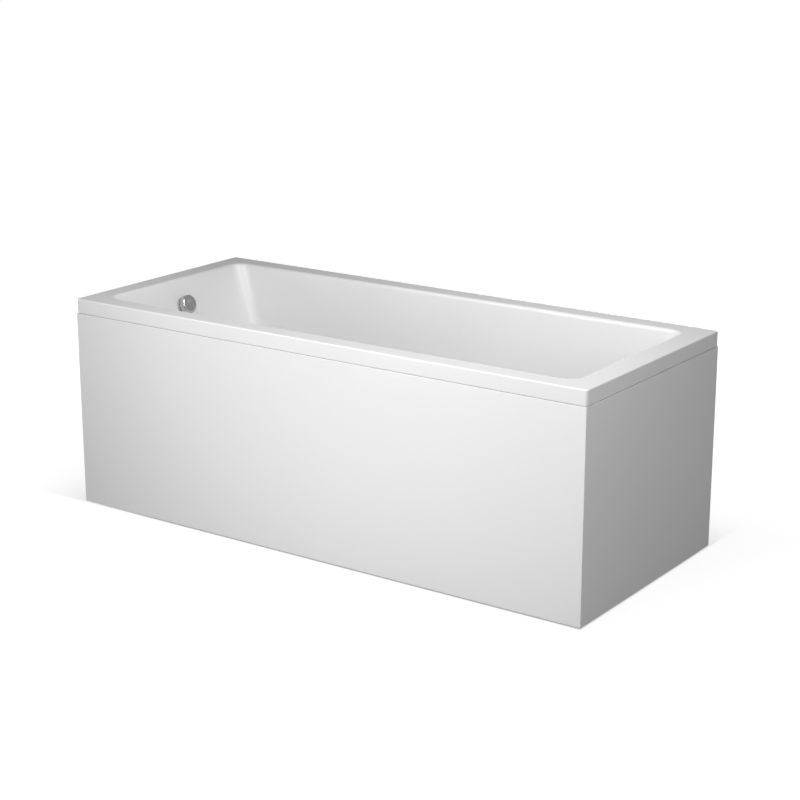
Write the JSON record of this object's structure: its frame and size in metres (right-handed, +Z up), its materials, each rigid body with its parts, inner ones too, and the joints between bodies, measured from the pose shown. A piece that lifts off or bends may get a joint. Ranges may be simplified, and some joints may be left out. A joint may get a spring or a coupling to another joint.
{
  "type": "acrylic bathtub",
  "caption": "Rectangular white acrylic bathtub with flat front and end panels, sloped ends, chrome overflow knob, pop-up waste and levelling feet.",
  "frame": {"origin": "on the finished floor, under the middle of the bath's outline", "axes": "+X along the bath from the foot end with the overflow to the head end, +Y from the panelled front to the wall, +Z up"},
  "size_m": [1.65, 0.7, 0.605],
  "materials": {
    "white_acrylic": "polished white acrylic",
    "glass_fibre": "rough sprayed glass-fibre laminate",
    "chipboard": "raw pressed board",
    "timber": "planed softwood",
    "zinc_steel": "galvanised sheet",
    "zinc_fastener": "bright zinc plating",
    "black_plastic": "moulded, fine grain",
    "chrome": "bright chrome plating",
    "brass": "turned, unpolished",
    "black_rubber": "moulded seal",
    "white_plastic": "moulded, satin",
    "grey_hose": "corrugated, satin",
    "black_cable": "extruded sheath"
  },
  "bodies": {
    "knob": {"overflow_knob": "chrome", "overflow_spindle": "brass"},
    "plug": {"plug_cap": "chrome", "plug_seal": "black_rubber", "plug_stem": "brass", "lift_pin": "brass"},
    "foot_1": {"leg_rod_1": "zinc_steel", "foot_pad_1": "black_plastic"},
    "foot_2": {"leg_rod_2": "zinc_steel", "foot_pad_2": "black_plastic"},
    "foot_3": {"leg_rod_3": "zinc_steel", "foot_pad_3": "black_plastic"},
    "foot_4": {"leg_rod_4": "zinc_steel", "foot_pad_4": "black_plastic"},
    "bath": {"base_board": "chipboard", "bowden_cable": "black_cable", "bracket_screws": "zinc_fastener", "clamp_screws": "zinc_fastener", "clip_screws": "zinc_fastener", "corner_brackets": "zinc_steel", "corner_screws": "zinc_fastener", "end_panel": "white_acrylic", "end_panel_stays": "zinc_steel", "end_stiffeners": "chipboard", "front_panel": "white_acrylic", "front_stiffeners": "chipboard", "grp_backing": "glass_fibre", "hose_nuts": "white_plastic", "leg_rail_1": "zinc_steel", "leg_rail_2": "zinc_steel", "lock_nuts_lower": "zinc_fastener", "lock_nuts_upper": "zinc_fastener", "outlet_pipe": "white_plastic", "overflow_body": "white_plastic", "overflow_clamp": "white_plastic", "overflow_gasket": "black_rubber", "overflow_hose": "grey_hose", "overflow_seal": "black_rubber", "panel_brackets": "zinc_steel", "panel_clips": "zinc_steel", "rail_screws": "zinc_fastener", "rim_batten_foot": "timber", "rim_batten_front": "timber", "rim_batten_head": "timber", "rim_batten_rear": "timber", "stay_screws": "zinc_fastener", "trap": "white_plastic", "trap_nuts": "white_plastic", "tub_shell": "white_acrylic", "wall_bracket_screws": "zinc_fastener", "wall_brackets": "zinc_steel", "waste_body": "white_plastic", "waste_flange": "chrome", "waste_lower_seal": "black_rubber", "waste_upper_seal": "black_rubber"}
  },
  "joints": [
    {"name": "knob_turn", "type": "hinge", "parent": "bath", "child": "knob", "pos_m": [-0.73434, 0, 0.529], "axis": [0.9397, 0, 0.342], "range_deg": [0, 120]},
    {"name": "plug_lift", "type": "slide", "parent": "bath", "child": "plug", "axis": [0, 0, 1], "range_m": [0, 0.012]},
    {"name": "foot_1_height", "type": "slide", "parent": "bath", "child": "foot_1", "axis": [0, 0, 1], "range_m": [-0.03, 0.003]},
    {"name": "foot_2_height", "type": "slide", "parent": "bath", "child": "foot_2", "axis": [0, 0, 1], "range_m": [-0.03, 0.003]},
    {"name": "foot_3_height", "type": "slide", "parent": "bath", "child": "foot_3", "axis": [0, 0, 1], "range_m": [-0.03, 0.003]},
    {"name": "foot_4_height", "type": "slide", "parent": "bath", "child": "foot_4", "axis": [0, 0, 1], "range_m": [-0.03, 0.003]}
  ],
  "couplings": [
    {"joint": "plug_lift", "follows": "knob_turn", "m_per_rad": 0.005729}
  ]
}
